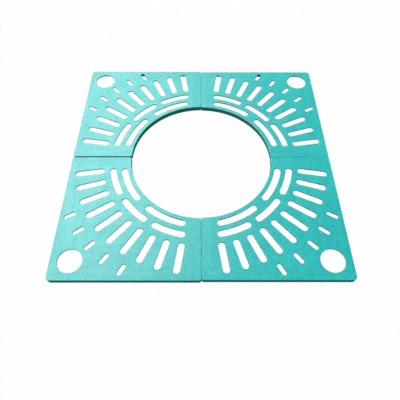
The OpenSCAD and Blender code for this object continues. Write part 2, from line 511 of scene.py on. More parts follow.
class FanGroup:
    """The geometry node group that spreads one piece about a centre."""

    INPUTS = (("Piece", "NodeSocketObject"), ("Count", "NodeSocketInt"), ("Step", "NodeSocketFloat"),
              ("Centre", "NodeSocketVector"), ("Left Out", "NodeSocketInt"))

    @classmethod
    def build(cls) -> NodeTree:
        """Builds the group.

        Returns:
            A tree with the inputs above and one output of instances.
        """
        tree = bpy.data.node_groups.new("fan of pieces", "GeometryNodeTree")
        for name, kind in cls.INPUTS:
            tree.interface.new_socket(name, in_out="INPUT", socket_type=kind)
        tree.interface.new_socket("Fan", in_out="OUTPUT", socket_type="NodeSocketGeometry")
        nodes = Nodes(tree)
        given = nodes.add("NodeGroupInput").outputs
        piece = nodes.add("GeometryNodeObjectInfo", {"Object": given["Piece"]})
        points = nodes.add("GeometryNodePoints",
                           {"Count": given["Count"], "Position": given["Centre"]})
        index = nodes.add("GeometryNodeInputIndex").outputs[0]
        middle = nodes.math("MULTIPLY", nodes.math("SUBTRACT", given["Count"], 1.0), 0.5)
        place = nodes.math("SUBTRACT", index, middle)
        angle = nodes.math("ADD", nodes.math("MULTIPLY", place, given["Step"]), math.pi / 4)
        # A little under half the gap, so that with none left out the middle piece stays too.
        half_gap = nodes.math("MULTIPLY_ADD", given["Left Out"], 0.5, -0.25)
        fan = nodes.add("GeometryNodeInstanceOnPoints", {
            "Points": points.outputs[0], "Instance": piece.outputs["Geometry"],
            "Selection": nodes.math("GREATER_THAN", nodes.math("ABSOLUTE", place), half_gap),
            "Rotation": nodes.add("ShaderNodeCombineXYZ", {"Z": angle}).outputs[0]})
        nodes.add("NodeGroupOutput", {0: fan.outputs[0]})
        return tree


class PieceTree:
    """The geometry node tree of one piece, with a named input for every size and shape."""

    def __init__(self, name: str) -> None:
        """Starts an empty tree.

        Args:
            name: Name of the tree.
        """
        self.tree = bpy.data.node_groups.new(name, "GeometryNodeTree")
        self.tree.interface.new_socket("Piece", in_out="OUTPUT", socket_type="NodeSocketGeometry")
        self.nodes = Nodes(self.tree)
        self.given = self.nodes.add("NodeGroupInput")
        self.values: dict[str, object] = {}
        self.fan_group = FanGroup.build()

    def give(self, name: str, kind: str, value: object = None) -> NodeSocket:
        """Adds an input to the tree.

        Args:
            name: Name of the input.
            kind: Its socket type.
            value: What the modifier hands in, or nothing for the geometry it stands on.

        Returns:
            The socket that the input comes out of.
        """
        item = self.tree.interface.new_socket(name, in_out="INPUT", socket_type=kind)
        if value is not None:
            self.values[item.identifier] = value
        return self.given.outputs[name]

    def shape(self, piece: Object) -> NodeSocket:
        """Adds an input for a helper object, named after it, and returns its geometry."""
        given = self.give(piece.name.title(), "NodeSocketObject", piece)
        return self.nodes.add("GeometryNodeObjectInfo", {"Object": given}).outputs["Geometry"]

    def at_places(self, piece: Object, places: NodeSocket) -> NodeSocket:
        """Sets a helper object on every one of some points and returns the instances."""
        return self.nodes.add("GeometryNodeInstanceOnPoints",
                              {"Points": places, "Instance": self.shape(piece)}).outputs[0]

    def fan(self, fan: Fan) -> NodeSocket:
        """Adds the inputs of a fan.

        Args:
            fan: The piece and how it is spread.

        Returns:
            The fan's instances.
        """
        node = self.nodes.add("GeometryNodeGroup", node_tree=self.fan_group)
        values = (fan.piece, fan.count, math.radians(fan.step),
                  (fan.centre * MM, fan.centre * MM, 0.0), fan.left_out)
        for (name, kind), value in zip(FanGroup.INPUTS, values):
            title = f"{fan.piece.name.title()} {name}"
            self.nodes.feed(node.inputs[name], self.give(title, kind, value))
        return node.outputs[0]

    def cut(self, body: NodeSocket, tools: Iterable[NodeSocket]) -> NodeSocket:
        """Takes tools away from a body.

        Args:
            body: Geometry of the body.
            tools: Geometry of each tool.

        Returns:
            What is left.
        """
        node = self.nodes.add("GeometryNodeMeshBoolean", {"Mesh 1": body},
                              operation="DIFFERENCE", solver="MANIFOLD")
        for tool in tools:
            self.nodes.feed(node.inputs["Mesh 2"], tool)
        return node.outputs[0]

    def end(self, piece: NodeSocket, finish: Material) -> None:
        """Closes the tree with Realize Instances and Set Material.

        Args:
            piece: Geometry of the piece.
            finish: Material of the piece.
        """
        real = self.nodes.add("GeometryNodeRealizeInstances", {0: piece}).outputs[0]
        painted = self.nodes.add("GeometryNodeSetMaterial", {
            "Geometry": real, "Material": self.give("Finish", "NodeSocketMaterial", finish)})
        self.nodes.add("NodeGroupOutput", {0: painted.outputs[0]})

    def mesh(self, worker: Object, name: str) -> Mesh:
        """Puts the tree on an object, with every input set by its identifier.

        Args:
            worker: The object.
            name: Name of the mesh.

        Returns:
            The finished mesh that the tree makes.
        """
        modifier = worker.modifiers.new("piece", "NODES")
        modifier.node_group = self.tree
        for identifier, value in self.values.items():
            modifier[identifier] = value
        return finished_mesh(worker, name)


@dataclass
class Moulding:
    """One panel's moulding: a deck with slots, a skirt, ribs and bosses."""

    outline: Outline
    height: float
    low: float
    slots: SlotSizes
    under: UndersideSizes
    pads: PadSizes
    edge: EdgeRound = EdgeRound(2.3, 6)
    foot_edge: EdgeRound = EdgeRound(0.6, 2)
    slot_edge: EdgeRound = EdgeRound(1.3, 5)
    overrun: float = 1

    def __post_init__(self) -> None:
        """Works out the heights, radii and angles that depend on the sizes."""
        slots = self.slots
        self.hole_x = self.outline.width - slots.hole_inset
        self.deck_z = self.height - self.under.deck_t
        self.rib_z = self.deck_z - self.under.rib_depth
        self.inner_arc_r = self.outline.opening_r + slots.rim_land + slots.arc_w / 2
        self.outer_arc_r = self.inner_arc_r + slots.arc_w + slots.ring_land
        self.inner_ring_r = self.inner_arc_r + (slots.arc_w + slots.ring_land) / 2
        ray_to_arc = slots.ray_land + slots.ray_centre
        self.outer_ring_r = self.outer_arc_r + slots.arc_w / 2 + ray_to_arc / 2
        self.ray_start = self.outer_arc_r + slots.arc_w / 2 + slots.ray_land
        self.short_start = self.ray_start + slots.ray_len + slots.short_land
        self.cross_r = self.short_start - slots.short_land / 2
        beside, width = slots.seam_band + slots.arc_w / 2, slots.arc_w
        self.inner_first = self.angle_of(beside, self.inner_arc_r)
        self.inner_last = 45 - self.angle_of((slots.inner_land + width) / 2, self.inner_arc_r)
        outer_first = self.angle_of(beside, self.outer_arc_r)
        self.outer_skip = 2 * self.angle_of((slots.outer_land + width) / 2, self.outer_arc_r)
        self.outer_span = ((90 - 2 * outer_first - (slots.outer_count - 1) * self.outer_skip)
                           / slots.outer_count)

    @staticmethod
    def angle_of(offset: float, radius: float) -> float:
        """The angle of a point on a circle that lies an offset beside the axis."""
        return math.degrees(math.asin(offset / radius))

    def blank(self) -> Object:
        """The panel's outer shape, solid, with its edges eased."""
        foot = [(inset, self.low - z) for inset, z in reversed(self.foot_edge.eased(0))]
        return solid("blank", foot + self.edge.eased(self.height), self.outline.inside)

    def pocket(self) -> Object:
        """What is hollow under the deck, before ribs and bosses stand in it.

        Returns:
            A solid that reaches out below the panel.
        """
        skirt, corner = self.under.skirt_t, self.under.pocket_corner_r
        outer_r = self.outline.outer_corner_r - skirt
        levels = [(0.0, self.low - self.overrun)] + self.under.pocket_round.eased(self.deck_z)
        return solid("pocket", levels,
                     lambda d: self.outline.points(skirt + d, outer_r - d, corner - d))

    def rib_levels(self, low: float) -> Section:
        """Levels of a rib or boss: an eased foot, then a slight draft.

        Args:
            low: Height of the foot.

        Returns:
            The inset and height of each level.
        """
        foot = self.under.rib_foot
        return [(foot, low), (foot / 3, low + foot / 3), (0, low + foot),
                (-self.under.rib_draft, self.deck_z + self.overrun)]

    def rib(self, label: str, shape: Shape) -> Object:
        """A rib with a shape."""
        return solid(label, [(self.under.rib_t / 2 - inset, z)
                             for inset, z in self.rib_levels(self.rib_z)], shape)

    def boss(self, label: str, radius: float, low: float) -> Object:
        """A round boss about the origin."""
        return turned(label, [(radius - d, z) for d, z in self.rib_levels(low)], ROUND_STEPS)

    def top_levels(self) -> Section:
        """Growth and height of each level where a cutter passes the rounded top edge."""
        return self.slot_edge.flared(self.height, self.overrun / 2)

    def slot(self, label: str, width: float, shape: Shape) -> Object:
        """Cutter of a slot with a width and a shape."""
        levels = [(0.0, self.low - 2 * self.overrun)] + self.top_levels()
        return solid(label, [(width / 2 + growth, z) for growth, z in levels], shape)

    def ray(self, label: str, width: float, start: float, length: float) -> Object:
        """Cutter of a straight slot along +X that starts at a distance from the origin."""
        return self.slot(label, width, round_bar(start + width / 2, start + length - width / 2))

    def hole_cut(self) -> Object:
        """Cutter of the corner hole, with the wider relief under the deck.

        Returns:
            A solid about the origin.
        """
        radius, relief = self.slots.hole_r, self.slots.hole_r + self.under.hole_ledge
        section = [(relief, self.low - 3 * self.overrun), (relief, self.deck_z)]
        section += [(radius + growth, z) for growth, z in [(0.0, self.deck_z)] + self.top_levels()]
        return turned("corner hole", section, ROUND_STEPS)

    def socket_cut(self) -> Object:
        """Cutter of the space for one rest pad.

        Returns:
            A solid about the origin.
        """
        pad = self.pads
        head, stud = pad.head_d / 2 + pad.clear, pad.stud_d / 2 + pad.clear
        section = [(head, self.low - 4 * self.overrun), (head, pad.head_t), (stud, pad.head_t),
                   (stud, pad.head_t + pad.stud_len + pad.clear)]
        return turned("pad socket", section, pad.steps)

    def standing(self) -> list[Fan]:
        """The ribs, hoops and discs that stand in the hollow under the deck.

        Returns:
            Fans of pieces, each reaching into what carries it.
        """
        slots, under = self.slots, self.under
        step, centre, beyond = slots.ray_step, slots.ray_centre, math.sqrt(2) * self.outline.width
        inner, outer, cross = self.inner_ring_r, self.outer_ring_r, self.cross_r
        near = outer - math.sqrt(2) * centre
        to_hole = math.sqrt(2) * (self.hole_x - centre)
        rim = self.outline.opening_r + under.skirt_t / 2
        short = slots.short_count
        disc_r = slots.hole_r + under.hole_ledge + under.rib_t / 2
        return [
            Fan(self.rib("inner ring", band(inner, 45))),
            Fan(self.rib("outer ring", band(outer, 45))),
            Fan(self.rib("cross ring", band(cross, (short + 1) / 2 * step)), centre=centre),
            Fan(self.rib("rim tie", bar(rim, inner))),
            Fan(self.rib("ring tie", bar(inner, outer)), 2, self.outer_span + self.outer_skip),
            Fan(self.rib("middle rib", bar(near, cross)), short, step, centre),
            Fan(self.rib("side rib", bar(near, beyond)), slots.ray_count + 1, step, centre, short),
            Fan(self.rib("hole rib", bar(cross, to_hole)), 2, step, centre),
            Fan(self.rib("corner rib", bar(cross, beyond)), short + 1, step, centre, 2),
            Fan(self.boss("hole ring", disc_r, self.rib_z), centre=self.hole_x),
        ]

    def cuts(self) -> list[Fan]:
        """The cutters of the slots and the corner hole, spread over the panel.

        Returns:
            Fans of cutters.
        """
        slots, step, centre = self.slots, self.slots.ray_step, self.slots.ray_centre
        inner = round_band(self.inner_arc_r, (self.inner_last - self.inner_first) / 2)
        outer = round_band(self.outer_arc_r, self.outer_span / 2)
        ray = self.ray("ray slot", slots.ray_w, self.ray_start, slots.ray_len)
        short = self.ray("short slot", slots.short_w, self.short_start, slots.short_len)
        return [
            Fan(self.slot("inner arc slot", slots.arc_w, inner), 2,
                90 - self.inner_last - self.inner_first),
            Fan(self.slot("outer arc slot", slots.arc_w, outer), slots.outer_count,
                self.outer_span + self.outer_skip),
            Fan(ray, slots.ray_count, step, centre),
            Fan(short, slots.short_count, step, centre),
            Fan(self.hole_cut(), centre=self.hole_x),
        ]

    def pad_places(self) -> Object:
        """The places of the rest pads in the rear right quarter.

        Returns:
            A mesh of five loose points.
        """
        inset, far = self.pads.inset, self.outline.width - self.pads.inset
        rim = math.sqrt((self.outline.opening_r + inset) ** 2 - inset ** 2)
        spots = [(inset, rim), (rim, inset), (inset, far), (far, inset), (far, far)]
        return mesh_object("pad places", [(x * MM, y * MM, 0) for x, y in spots])

    def make(self, finish: Material) -> Mesh:
        """Makes the moulding of the rear right quarter.

        Args:
            finish: Material of the moulding.

        Returns:
            One closed mesh, with its place in it.
        """
        blank, pocket, places = self.blank(), self.pocket(), self.pad_places()
        boss = self.boss("pad boss", self.under.boss_d / 2, self.low)
        socket = self.socket_cut()
        standing, cuts = self.standing(), self.cuts()

        tree = PieceTree("slotted moulding")
        body = tree.give("Blank", "NodeSocketGeometry")
        under = tree.shape(pocket)
        spots = tree.shape(places)
        bosses = tree.at_places(boss, spots)
        sockets = tree.at_places(socket, spots)
        hollow = tree.cut(under, [tree.fan(fan) for fan in standing] + [bosses])
        tree.end(tree.cut(body, [hollow] + [tree.fan(fan) for fan in cuts] + [sockets]), finish)
        mesh = tree.mesh(blank, "moulding")
        discard([blank, pocket, places, boss, socket] + [fan.piece for fan in standing + cuts])
        return mesh


@dataclass
class RestPads:
    """The rubber pads under one quarter."""

    sizes: PadSizes

    def section(self) -> Section:
        """A pad's outline, from the middle of its sole to its stud's tip.

        Returns:
            The radius and height of each ring.
        """
        pad = self.sizes
        head, stud = pad.head_d / 2, pad.stud_d / 2
        groove, tip = pad.groove_w / 2, pad.head_t + pad.stud_len
        section: Section = [(pad.sole_r, 0.0)]
        for radius in pad.groove_radii:
            section += [(radius - groove, 0.0), (radius - groove / 2, pad.groove_d),
                        (radius + groove / 2, pad.groove_d), (radius + groove, 0.0)]
        section += [(head - inset, -z) for inset, z in reversed(pad.sole_round.eased(0))]
        section += [(head - inset, z) for inset, z in pad.head_round.eased(pad.head_t)]
        section += [(stud + pad.neck, pad.head_t), (stud, pad.head_t + pad.neck)]
        for k in range(1, pad.barbs + 1):
            barb = pad.head_t + k * pad.stud_len / (pad.barbs + 1)
            section += [(stud, barb - pad.barb_rise), (stud + pad.clear / 2, barb),
                        (stud - pad.neck, barb + pad.barb_fall)]
        return section + [(stud, tip - pad.tip_len), (stud - pad.tip_inset, tip)]

    def make(self, places: Object, finish: Material) -> Mesh:
        """Makes the five pads of the rear right quarter.

        Args:
            places: Points that the pads stand on.
            finish: Material of the rubber.

        Returns:
            One mesh with the five closed pads.
        """
        pad = turned("pad", self.section(), self.sizes.steps)
        tree = PieceTree("pads at their places")
        spots = tree.give("Pad Places", "NodeSocketGeometry")
        tree.end(tree.at_places(pad, spots), finish)
        mesh = tree.mesh(places, "pads")
        discard([pad, places])
        return mesh


@dataclass
class Grate:
    """The whole grate: four quarters, each with its moulding, pads and rods."""

    moulding: Moulding
    pads: RestPads
    rod_nodes: tuple[str, ...] = ("edge_rods", "seam_rods", "rim_rod", "ring_rods", "rib_rods")

    def piece(self, quarter: Quarter, name: str, mesh: Mesh, node: str, slot: Slot) -> None:
        """Places a copy of a piece in a quarter and hands it to the frame.

        The new object stays at the origin, because its mesh holds its place.

        Args:
            quarter: The quarter that the piece belongs to.
            name: What the piece is.
            mesh: The piece's mesh in the rear right quarter.
            node: The CAD node that the piece stands for, without the quarter's name.
            slot: The material slot that the piece's finish belongs to; not used.
        """
        label = f"{quarter.label}_{name}"
        placed = mesh.copy()
        placed.name = label
        placed.transform(quarter.placement())
        made = linked(label, placed)
        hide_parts(f"{quarter.label}_{node}")
        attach(made, quarter.body)
        log.info("%s: %d faces, rides on %s", label, len(placed.polygons), quarter.body)

    def dress_rods(self, quarter: Quarter, finish: Material) -> None:
        """Gives a quarter's rods, which keep their CAD shapes, their finish.

        Args:
            quarter: The quarter that the rods belong to.
            finish: Material of the rods.
        """
        for rods in self.rod_nodes:
            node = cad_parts[f"{quarter.label}_{rods}"]
            node.data.materials.clear()
            node.data.materials.append(finish)
            log.info("%s: keeps its shape", node.name)

    def build(self, finishes: dict[Slot, Material]) -> None:
        """Makes every piece of the four quarters.

        Args:
            finishes: The material of each slot.
        """
        moulding = self.moulding.make(finishes[Slot.PANEL])
        pads = self.pads.make(self.moulding.pad_places(), finishes[Slot.PADS])
        for quarter in Quarter:
            self.piece(quarter, "moulding", moulding, "panel", Slot.PANEL)
            self.piece(quarter, "pads", pads, "rest_pads", Slot.PADS)
            self.dress_rods(quarter, finishes[Slot.RODS])
        for mesh in (moulding, pads):
            bpy.data.meshes.remove(mesh)


def shader_group(name: str, inputs: dict[str, float],
                 make: Callable[[Nodes, Sockets], Sockets]) -> NodeTree:
    """Builds a shader node group with a Vector input, number inputs and value outputs.

    Args:
        name: Name of the group.
        inputs: Its number inputs, each with its default.
        make: Adds its nodes, from the inputs by name, and returns its outputs by name.

    Returns:
        The group's tree.
    """
    tree = bpy.data.node_groups.new(name, "ShaderNodeTree")
    tree.interface.new_socket("Vector", in_out="INPUT", socket_type="NodeSocketVector")
    for title, value in inputs.items():
        item = tree.interface.new_socket(title, in_out="INPUT", socket_type="NodeSocketFloat")
        item.default_value = value
    nodes = Nodes(tree)
    made = make(nodes, nodes.add("NodeGroupInput").outputs)
    for title in made:
        tree.interface.new_socket(title, in_out="OUTPUT", socket_type="NodeSocketFloat")
    nodes.add("NodeGroupOutput", made)
    return tree


class Effects:
    """The shader node groups that the finishes share, each built once."""

    def __init__(self) -> None:
        """Builds the groups."""
        patches = {"Scale": 4, "Seed": 0, "Low": 0.4, "High": 0.65}
        streaks = {"Scale": 60, "Stretch": 12, "Seed": 0, "Side": 0.6, "Low": 0.44, "High": 0.64}
        dust = {"Scale": 30, "Seed": 0, "Amount": 0.5, "Reach": 0.02}
        self.zones = shader_group("surface zones", {}, self.make_zones)
        self.inside = shader_group("inside of a panel",
                                   {"Rim": 0.3285, "Side": 0.5985, "Seam": 0.004}, self.make_inside)
        self.clouds = shader_group("cloudy patches", patches, self.make_clouds)
        self.streaks = shader_group("flow streaks", streaks, self.make_streaks)
        self.grain = shader_group("fine grain", {"Scale": 700, "Pits": 0.4, "Seed": 0},
                                  self.make_grain)
        self.dust = shader_group("ground dust", dust, self.make_dust)

    @staticmethod
    def make_zones(nodes: Nodes, given: Sockets) -> Sockets:
        """Masks of the rounded top edges, the walls and the underside, from a normal.

        Args:
            nodes: The group's nodes.
            given: Its inputs, by name.

        Returns:
            Its outputs, by name.
        """
        flat_top, upright, downward = (0.93, 0.995), (0.1, 0.5), (0.3, 0.9)
        rise = nodes.split(given["Vector"])["Z"]
        top = nodes.ramp(rise, *flat_top)
        wall = nodes.math("SUBTRACT", 1.0, nodes.ramp(nodes.math("ABSOLUTE", rise), *upright))
        under = nodes.ramp(nodes.math("MULTIPLY", rise, -1.0), *downward)
        rest = nodes.math("SUBTRACT", 1.0, nodes.math("ADD", top, wall))
        edge = nodes.math("SUBTRACT", rest, under, clamp=True)
        return {"Edge": edge, "Wall": wall, "Under": under}

    @staticmethod
    def make_inside(nodes: Nodes, given: Sockets) -> Sockets:
        """A mask of all that lies inside the opening's wall, the seams and the outer faces.

        Args:
            nodes: The group's nodes.
            given: Its inputs, by name.

        Returns:
            Its outputs, by name.
        """
        place = nodes.split(given["Vector"])
        x, y = (nodes.math("ABSOLUTE", place[axis]) for axis in "XY")
        radius = nodes.math("SQRT", nodes.math("MULTIPLY_ADD", x, x, nodes.math("MULTIPLY", y, y)))
        mask = nodes.math("LESS_THAN", nodes.math("MAXIMUM", x, y), given["Side"])
        for value, limit in ((radius, "Rim"), (nodes.math("MINIMUM", x, y), "Seam")):
            mask = nodes.math("MULTIPLY", mask, nodes.math("GREATER_THAN", value, given[limit]))
        return {"Mask": mask}

    @staticmethod
    def make_clouds(nodes: Nodes, given: Sockets) -> Sockets:
        """A mask of soft patches with ragged borders."""
        noise = nodes.noise(given, given["Vector"], detail=5, roughness=0.55)
        return {"Mask": nodes.ramp(noise, given["Low"], given["High"])}

    @staticmethod
    def make_streaks(nodes: Nodes, given: Sockets) -> Sockets:
        """A mask of flow marks that run along the nearest straight edge of a panel.

        Args:
            nodes: The group's nodes.
            given: Its inputs, by name.

        Returns:
            Its outputs, by name.
        """
        bend_scale, bend, blur = 9.0, 0.02, 0.05
        drift = nodes.add("ShaderNodeTexNoise", {"Vector": given["Vector"], "Scale": bend_scale},
                          noise_dimensions="3D").outputs["Color"]
        bent = nodes.add("ShaderNodeVectorMath", {0: drift, 1: (bend, bend, 0), 2: given["Vector"]},
                         operation="MULTIPLY_ADD").outputs[0]
        place = nodes.split(bent)
        nearest, squeezed = [], []
        for axis in "XY":
            along = nodes.math("ABSOLUTE", place[axis])
            beyond = nodes.math("SUBTRACT", given["Side"], along)
            nearest.append(nodes.math("MINIMUM", along, beyond))
            squeezed.append(nodes.math("DIVIDE", place[axis], given["Stretch"]))
        level, upright = (
            nodes.noise(given, nodes.add("ShaderNodeCombineXYZ", {"X": x, "Y": y}).outputs[0],
                        detail=4, roughness=0.6)
            for x, y in ((squeezed[0], place["Y"]), (place["X"], squeezed[1])))
        share = nodes.ramp(nodes.math("SUBTRACT", nearest[1], nearest[0]), -blur, blur)
        both = nodes.math("ADD", nodes.math("MULTIPLY", level, nodes.math("SUBTRACT", 1.0, share)),
                          nodes.math("MULTIPLY", upright, share))
        return {"Mask": nodes.ramp(both, given["Low"], given["High"])}

    @staticmethod
    def make_grain(nodes: Nodes, given: Sockets) -> Sockets:
        """The height of a fine, slightly pitted moulded or rolled surface.

        Args:
            nodes: The group's nodes.
            given: Its inputs, by name.

        Returns:
            Its outputs, by name.
        """
        pit_scale, pit_edges = 0.3, (0.02, 0.3)
        noise = nodes.noise(given, given["Vector"], detail=3, roughness=0.6)
        pits = nodes.add("ShaderNodeTexVoronoi", {
            "Vector": given["Vector"], "Scale": nodes.math("MULTIPLY", given["Scale"], pit_scale),
        }, feature="SMOOTH_F1")
        pitted = nodes.ramp(pits.outputs["Distance"], *pit_edges)
        return {"Height": nodes.math("ADD", noise, nodes.math("MULTIPLY", pitted, given["Pits"]))}

    @staticmethod
    def make_dust(nodes: Nodes, given: Sockets) -> Sockets:
        """A mask of dust that gathers in patches, more of it near the ground.

        Args:
            nodes: The group's nodes.
            given: Its inputs, by name.

        Returns:
            Its outputs, by name.
        """
        patch_edges, at_ground, higher_up = (0.38, 0.68), 0.95, 0.05
        height = nodes.math("DIVIDE", nodes.split(given["Vector"])["Z"], given["Reach"], clamp=True)
        noise = nodes.noise(given, given["Vector"], detail=6, roughness=0.65)
        patches = nodes.ramp(noise, *patch_edges)
        low = nodes.math("SUBTRACT", 1.0, height)
        gathered = nodes.math("MULTIPLY_ADD", low, at_ground, higher_up)
        dust = nodes.math("MULTIPLY", patches, gathered)
        return {"Mask": nodes.math("MULTIPLY", dust, given["Amount"], clamp=True)}


@dataclass(frozen=True)
class Tint:
    """A colour, and the share of it that shows where its mask is full."""

    colour: Colour
    share: float


class Coat:
    """One material in the making: its nodes, its shader and its coordinates."""

    def __init__(self, name: str) -> None:
        """Starts a material with a Principled shader on its output.

        Args:
            name: Name of the material.
        """
        self.material = bpy.data.materials.new(name)
        self.material.use_nodes = True
        self.nodes = Nodes(self.material.node_tree)
        self.nodes.tree.nodes.clear()
        self.shader = self.nodes.add("ShaderNodeBsdfPrincipled")
        self.nodes.add("ShaderNodeOutputMaterial", {"Surface": self.shader.outputs[0]})
        place = self.nodes.add("ShaderNodeTexCoord").outputs
        self.place = place["Object"]
        self.facing = place["Normal"]

    def effect(self, group: NodeTree, vector: NodeSocket | None = None,
               **values: float) -> Sockets:
        """Places a shader node group with its own values.

        Args:
            group: The group.
            vector: What it reads, the object's coordinates by default.
            values: Its inputs, by name.

        Returns:
            Its outputs, by name.
        """
        inputs = {"Vector": vector or self.place, **values}
        return self.nodes.add("ShaderNodeGroup", inputs, node_tree=group).outputs

    def tinted(self, colour: object, mask: NodeSocket, tint: Tint) -> NodeSocket:
        """Lays a tint over a colour where a mask is high, and returns the result."""
        return self.nodes.mixed(self.nodes.math("MULTIPLY", mask, tint.share), colour, tint.colour)

    def bump(self, height: NodeSocket, strength: float, distance: float) -> None:
        """Lets a height roughen the surface."""
        inputs = {"Strength": strength, "Distance": distance, "Height": height}
        self.shade(Normal=self.nodes.add("ShaderNodeBump", inputs).outputs[0])

    def shade(self, **values: object) -> None:
        """Feeds the shader's inputs, by name; an underscore stands for a space."""
        for name, value in values.items():
            self.nodes.feed(self.shader.inputs[name.replace("_", " ")], value)


@dataclass(frozen=True)
class MouldedFinish:
    """Turquoise composite, with the cloudy patches and flow marks of hot moulding, painted shade on
    its walls and underside, and rounded top edges lightened partly by wear and partly by a painted
    highlight.
    """

    base: Colour = (0.001, 0.585, 0.55, 1)
    bluer: Tint = Tint((0.001, 0.51, 0.535, 1), 0.55)
    greener: Tint = Tint((0.004, 0.63, 0.545, 1), 0.40)
    greyer: Tint = Tint((0.02, 0.47, 0.475, 1), 0.22)
    pale_streak: Tint = Tint((0.04, 0.68, 0.655, 1), 0.36)
    deep_streak: Tint = Tint((0.002, 0.42, 0.42, 1), 0.28)
    pale_speck: Tint = Tint((0.04, 0.68, 0.655, 1), 0.65)
    deep_mottle: Tint = Tint((0.002, 0.42, 0.42, 1), 0.42)
    # The lighter colour on the rounded top edges is partly wear and partly a painted highlight of
    # sky light.
    worn_and_highlit_edge: Colour = (0.10, 0.72, 0.70, 1)
    least_edge_wear_and_highlight: float = 0.3
    scuffed_edge_wear_and_highlight: float = 0.35
    # The wall colour and the inner wall colour are painted shade: darker colours for the walls and
    # underside, lighter inside the panel than on its outer faces.
    wall: Colour = (0.001, 0.135, 0.108, 1)
    inner_wall_shade: Colour = (0.001, 0.29, 0.262, 1)
    painted_shade_share: float = 0.85
    dust: Colour = (0.16, 0.20, 0.18, 1)
    roughness: float = 0.44
    patch_roughness: float = 0.08
    streak_roughness: float = -0.05
    side_roughness: float = 0.55
    streak_height: float = 0.5

    def build(self, effects: Effects) -> Material:
        """Builds the material.

        Args:
            effects: The shared shader node groups.

        Returns:
            The material.
        """
        coat = Coat("moulded_turquoise_composite")
        nodes = coat.nodes
        zones = coat.effect(effects.zones, coat.facing)
        inside = coat.effect(effects.inside)["Mask"]
        drift = coat.effect(effects.clouds, Scale=2.3, Seed=1.7, Low=0.40, High=0.64)["Mask"]
        patch = coat.effect(effects.clouds, Scale=9, Seed=6.1, Low=0.46, High=0.70)["Mask"]
        speck = coat.effect(effects.clouds, Scale=130, Seed=3.3, Low=0.48, High=0.64)["Mask"]
        mottle = coat.effect(effects.clouds, Scale=85, Seed=7.7, Low=0.46, High=0.62)["Mask"]
        scuff = coat.effect(effects.clouds, Scale=55, Seed=4.4, Low=0.42, High=0.66)["Mask"]
        light = coat.effect(effects.streaks, Scale=42, Stretch=11, Seed=2.0)["Mask"]
        dark = coat.effect(effects.streaks, Scale=30, Stretch=9, Seed=8.0)["Mask"]
        dust = coat.effect(effects.dust, Scale=24, Seed=5.5, Amount=0.35)["Mask"]
        grain = coat.effect(effects.grain, Scale=420, Pits=0.5, Seed=1.0)["Height"]

        colour = self.base
        for mask, tint in ((drift, self.bluer), (patch, self.greener), (scuff, self.greyer),
                           (light, self.pale_streak), (dark, self.deep_streak),
                           (speck, self.pale_speck), (mottle, self.deep_mottle)):
            colour = coat.tinted(colour, mask, tint)
        # Rounded top edges are lightened: partly scuffed wear, partly a painted highlight.
        edge_wear_and_highlight = nodes.math("MULTIPLY_ADD", scuff, self.scuffed_edge_wear_and_highlight, self.least_edge_wear_and_highlight)
        colour = nodes.mixed(nodes.math("MULTIPLY", zones["Edge"], edge_wear_and_highlight), colour, self.worn_and_highlit_edge)
        # Walls and the underside take a darker colour: painted shade.
        shaded_faces = nodes.math("ADD", zones["Wall"], zones["Under"], clamp=True)
        sides = nodes.math("MULTIPLY", shaded_faces, self.painted_shade_share)
        colour = nodes.mixed(sides, colour, nodes.mixed(inside, self.wall, self.inner_wall_shade))
        colour = nodes.mixed(nodes.math("MULTIPLY", dust, sides), colour, self.dust)

        rough = nodes.math("MULTIPLY_ADD", patch, self.patch_roughness, self.roughness)
        rough = nodes.math("MULTIPLY_ADD", light, self.streak_roughness, rough)
        rough = nodes.math("MULTIPLY_ADD", sides, self.side_roughness, rough, clamp=True)
        coat.shade(Base_Color=colour, Roughness=rough, Specular_IOR_Level=0.25, IOR=1.5)
        height = nodes.math("MULTIPLY_ADD", light, self.streak_height, grain)
        coat.bump(height, strength=0.12, distance=0.0006)
        return coat.material


@dataclass(frozen=True)
class SteelFinish:
    """Drawn reinforcing steel, with mill scale and a bloom of rust."""

    base: Colour = (0.30, 0.29, 0.28, 1)
    scale: Tint = Tint((0.11, 0.11, 0.12, 1), 0.7)
    lines: Tint = Tint((0.11, 0.11, 0.12, 1), 0.35)
    rust: Colour = (0.24, 0.085, 0.03, 1)
    bare_metal: float = 0.95
    rust_metal: float = -0.85
    bare_roughness: float = 0.38
    rust_roughness: float = 0.35

    def build(self, effects: Effects) -> Material:
        """Builds the material.

        Args:
            effects: The shared shader node groups.

        Returns:
            The material.
        """
        coat = Coat("reinforcing_steel")
        nodes = coat.nodes
        mill = coat.effect(effects.clouds, Scale=60, Seed=2.2, Low=0.40, High=0.60)["Mask"]
        bloom = coat.effect(effects.clouds, Scale=26, Seed=9.4, Low=0.50, High=0.68)["Mask"]
        lines = coat.effect(effects.streaks, Scale=260, Stretch=30, Seed=1.0)["Mask"]
        grain = coat.effect(effects.grain, Scale=900, Pits=0.3, Seed=7.0)["Height"]
        colour = coat.tinted(coat.tinted(self.base, mill, self.scale), lines, self.lines)
        coat.shade(
            Base_Color=nodes.mixed(bloom, colour, self.rust),
            Metallic=nodes.math("MULTIPLY_ADD", bloom, self.rust_metal, self.bare_metal),
            Roughness=nodes.math("MULTIPLY_ADD", bloom, self.rust_roughness, self.bare_roughness))
        coat.bump(nodes.math("ADD", grain, lines), strength=0.25, distance=0.0003)
        return coat.material


